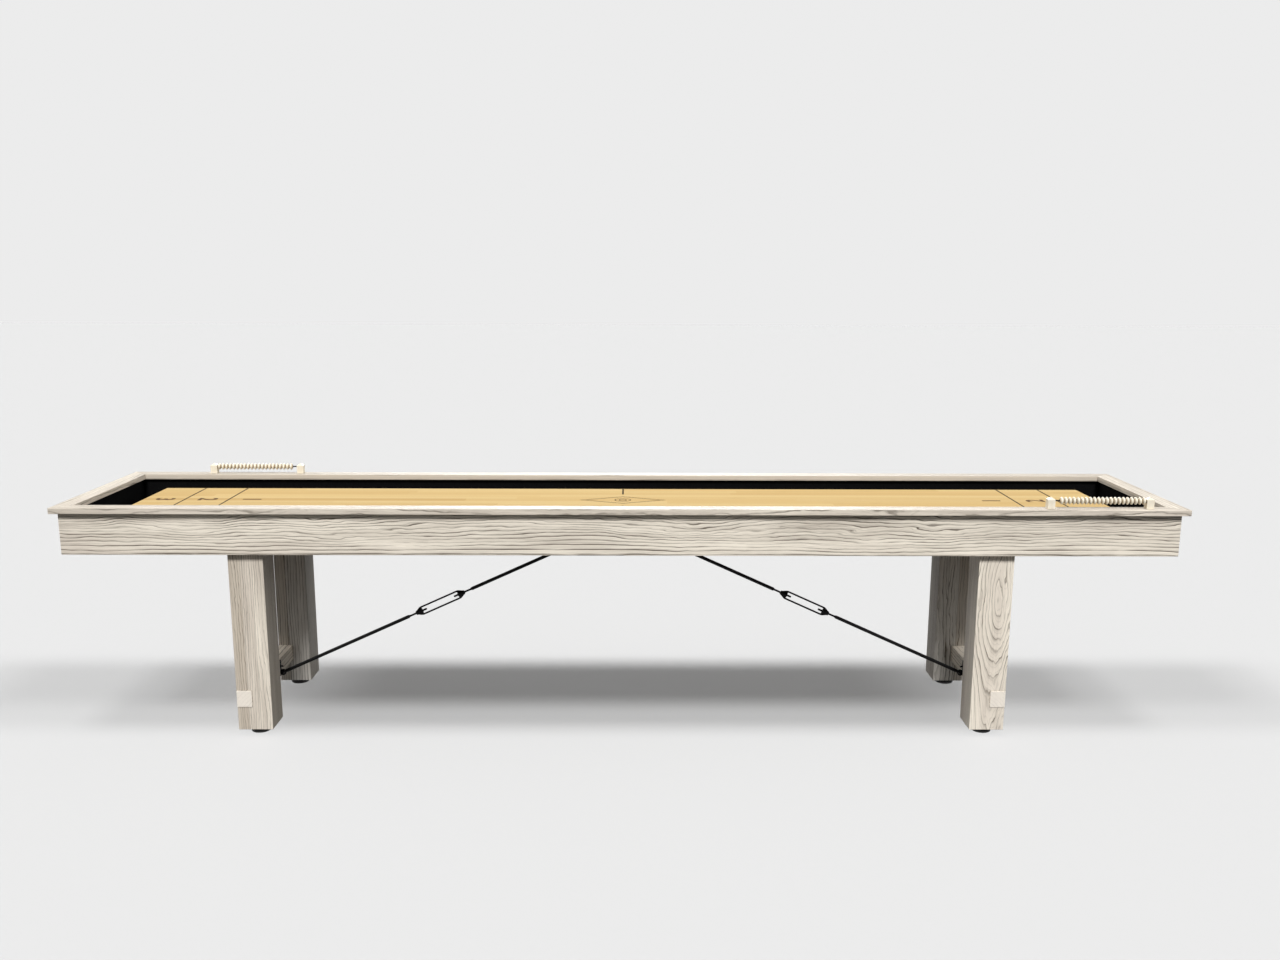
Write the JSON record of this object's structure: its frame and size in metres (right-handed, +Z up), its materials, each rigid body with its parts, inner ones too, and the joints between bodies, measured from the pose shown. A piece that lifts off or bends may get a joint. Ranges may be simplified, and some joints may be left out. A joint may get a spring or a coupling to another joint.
{
  "type": "shuffleboard table",
  "caption": "Long shuffleboard table: mitred cabinet on square legs, board playfield in a carpeted gutter, abacus scorers on the rails and a steel truss with turnbuckles.",
  "frame": {"origin": "on the floor below the middle of the table, at the level of the foot pads' undersides", "axes": "+X along the table's length towards the end with the front scorer, +Y across the table from the front to the back, +Z up"},
  "size_m": [3.6576, 0.6984, 0.8264],
  "materials": {
    "washed_ash": "white-washed open-grain ash with grey-brown grain, satin",
    "maple": "golden butcher block under a glossy clear coat",
    "plywood": "plain birch plywood, unfinished",
    "carpet": "short black loop carpet, matt",
    "black_steel": "satin black powder coat",
    "black_rubber": "matt black moulded foot",
    "ivory": "ivory, semi-gloss"
  },
  "bodies": {
    "table_body": {"rail_front": "washed_ash", "rail_right": "washed_ash", "rail_back": "washed_ash", "rail_left": "washed_ash", "apron_front": "washed_ash", "apron_right": "washed_ash", "apron_back": "washed_ash", "apron_left": "washed_ash", "bottom_panel": "plywood", "gutter_carpet_front": "carpet", "gutter_carpet_right": "carpet", "gutter_carpet_back": "carpet", "gutter_carpet_left": "carpet", "gutter_floor_carpet": "carpet", "playfield": "maple", "playfield_support_left": "plywood", "playfield_support_centre": "plywood", "playfield_support_right": "plywood", "climatic_adjuster_left": "black_steel", "climatic_adjuster_right": "black_steel", "leg_front_left": "washed_ash", "leg_front_right": "washed_ash", "leg_back_left": "washed_ash", "leg_back_right": "washed_ash", "stretcher_left": "washed_ash", "truss_anchor_left": "black_steel", "truss_rod_lower_left": "black_steel", "truss_rod_upper_left": "black_steel", "stretcher_right": "washed_ash", "truss_anchor_right": "black_steel", "truss_rod_lower_right": "black_steel", "truss_rod_upper_right": "black_steel", "truss_centre_bracket": "black_steel", "front_scorer_post_left": "ivory", "front_scorer_post_right": "ivory", "front_scorer_wire": "black_steel", "back_scorer_post_left": "ivory", "back_scorer_post_right": "ivory", "back_scorer_wire": "black_steel"},
    "foot_pad_front_left": {"leveler_pad_front_left": "black_rubber"},
    "foot_stem_front_left": {"leveler_stem_front_left": "black_steel"},
    "foot_pad_front_right": {"leveler_pad_front_right": "black_rubber"},
    "foot_stem_front_right": {"leveler_stem_front_right": "black_steel"},
    "foot_pad_back_left": {"leveler_pad_back_left": "black_rubber"},
    "foot_stem_back_left": {"leveler_stem_back_left": "black_steel"},
    "foot_pad_back_right": {"leveler_pad_back_right": "black_rubber"},
    "foot_stem_back_right": {"leveler_stem_back_right": "black_steel"},
    "turnbuckle_body_left": {"turnbuckle_left": "black_steel"},
    "turnbuckle_body_right": {"turnbuckle_right": "black_steel"},
    "adjuster_nut_body_left": {"adjuster_nut_left": "black_steel"},
    "adjuster_nut_body_right": {"adjuster_nut_right": "black_steel"},
    "front_beads_body_4": {"front_scorer_beads_4": "ivory"},
    "front_beads_body_3": {"front_scorer_beads_3": "ivory"},
    "front_beads_body_2": {"front_scorer_beads_2": "ivory"},
    "front_beads_body_1": {"front_scorer_beads_1": "ivory"},
    "back_beads_body_4": {"back_scorer_beads_4": "ivory"},
    "back_beads_body_3": {"back_scorer_beads_3": "ivory"},
    "back_beads_body_2": {"back_scorer_beads_2": "ivory"},
    "back_beads_body_1": {"back_scorer_beads_1": "ivory"}
  },
  "joints": [
    {"name": "foot_lift_front_left", "type": "slide", "parent": "table_body", "child": "foot_pad_front_left", "axis": [0, 0, -1], "range_m": [0, 0.02]},
    {"name": "foot_turn_front_left", "type": "hinge", "parent": "foot_pad_front_left", "child": "foot_stem_front_left", "pos_m": [-1.22685, -0.24485, 0.05], "axis": [0, 0, 1], "range_deg": [0, 4805]},
    {"name": "foot_lift_front_right", "type": "slide", "parent": "table_body", "child": "foot_pad_front_right", "axis": [0, 0, -1], "range_m": [0, 0.02]},
    {"name": "foot_turn_front_right", "type": "hinge", "parent": "foot_pad_front_right", "child": "foot_stem_front_right", "pos_m": [1.22685, -0.24485, 0.05], "axis": [0, 0, 1], "range_deg": [0, 4805]},
    {"name": "foot_lift_back_left", "type": "slide", "parent": "table_body", "child": "foot_pad_back_left", "axis": [0, 0, -1], "range_m": [0, 0.02]},
    {"name": "foot_turn_back_left", "type": "hinge", "parent": "foot_pad_back_left", "child": "foot_stem_back_left", "pos_m": [-1.22685, 0.24485, 0.05], "axis": [0, 0, 1], "range_deg": [0, 4805]},
    {"name": "foot_lift_back_right", "type": "slide", "parent": "table_body", "child": "foot_pad_back_right", "axis": [0, 0, -1], "range_m": [0, 0.02]},
    {"name": "foot_turn_back_right", "type": "hinge", "parent": "foot_pad_back_right", "child": "foot_stem_back_right", "pos_m": [1.22685, 0.24485, 0.05], "axis": [0, 0, 1], "range_deg": [0, 4805]},
    {"name": "turnbuckle_turn_left", "type": "hinge", "parent": "table_body", "child": "turnbuckle_body_left", "pos_m": [-0.646, 0, 0.37895], "axis": [0.9105, 0, 0.4136], "continuous": true},
    {"name": "turnbuckle_turn_right", "type": "hinge", "parent": "table_body", "child": "turnbuckle_body_right", "pos_m": [0.646, 0, 0.37895], "axis": [-0.9105, 0, 0.4136], "continuous": true},
    {"name": "adjuster_turn_left", "type": "hinge", "parent": "table_body", "child": "adjuster_nut_body_left", "pos_m": [-0.62, 0, 0.68565], "axis": [0, 1, 0], "continuous": true},
    {"name": "adjuster_turn_right", "type": "hinge", "parent": "table_body", "child": "adjuster_nut_body_right", "pos_m": [0.62, 0, 0.68565], "axis": [0, 1, 0], "continuous": true},
    {"name": "front_beads_slide_4", "type": "slide", "parent": "table_body", "child": "front_beads_body_4", "axis": [-1, 0, 0], "range_m": [0, 0.0028]},
    {"name": "front_beads_slide_3", "type": "slide", "parent": "front_beads_body_4", "child": "front_beads_body_3", "axis": [-1, 0, 0], "range_m": [0, 0.0028]},
    {"name": "front_beads_slide_2", "type": "slide", "parent": "front_beads_body_3", "child": "front_beads_body_2", "axis": [-1, 0, 0], "range_m": [0, 0.0028]},
    {"name": "front_beads_slide_1", "type": "slide", "parent": "front_beads_body_2", "child": "front_beads_body_1", "axis": [-1, 0, 0], "range_m": [0, 0.008]},
    {"name": "back_beads_slide_4", "type": "slide", "parent": "table_body", "child": "back_beads_body_4", "axis": [1, 0, 0], "range_m": [0, 0.0028]},
    {"name": "back_beads_slide_3", "type": "slide", "parent": "back_beads_body_4", "child": "back_beads_body_3", "axis": [1, 0, 0], "range_m": [0, 0.0028]},
    {"name": "back_beads_slide_2", "type": "slide", "parent": "back_beads_body_3", "child": "back_beads_body_2", "axis": [1, 0, 0], "range_m": [0, 0.0028]},
    {"name": "back_beads_slide_1", "type": "slide", "parent": "back_beads_body_2", "child": "back_beads_body_1", "axis": [1, 0, 0], "range_m": [0, 0.008]}
  ],
  "couplings": [
    {"joint": "foot_turn_front_left", "follows": "foot_lift_front_left", "rad_per_m": 4188.8},
    {"joint": "foot_turn_front_right", "follows": "foot_lift_front_right", "rad_per_m": 4188.8},
    {"joint": "foot_turn_back_left", "follows": "foot_lift_back_left", "rad_per_m": 4188.8},
    {"joint": "foot_turn_back_right", "follows": "foot_lift_back_right", "rad_per_m": 4188.8}
  ]
}
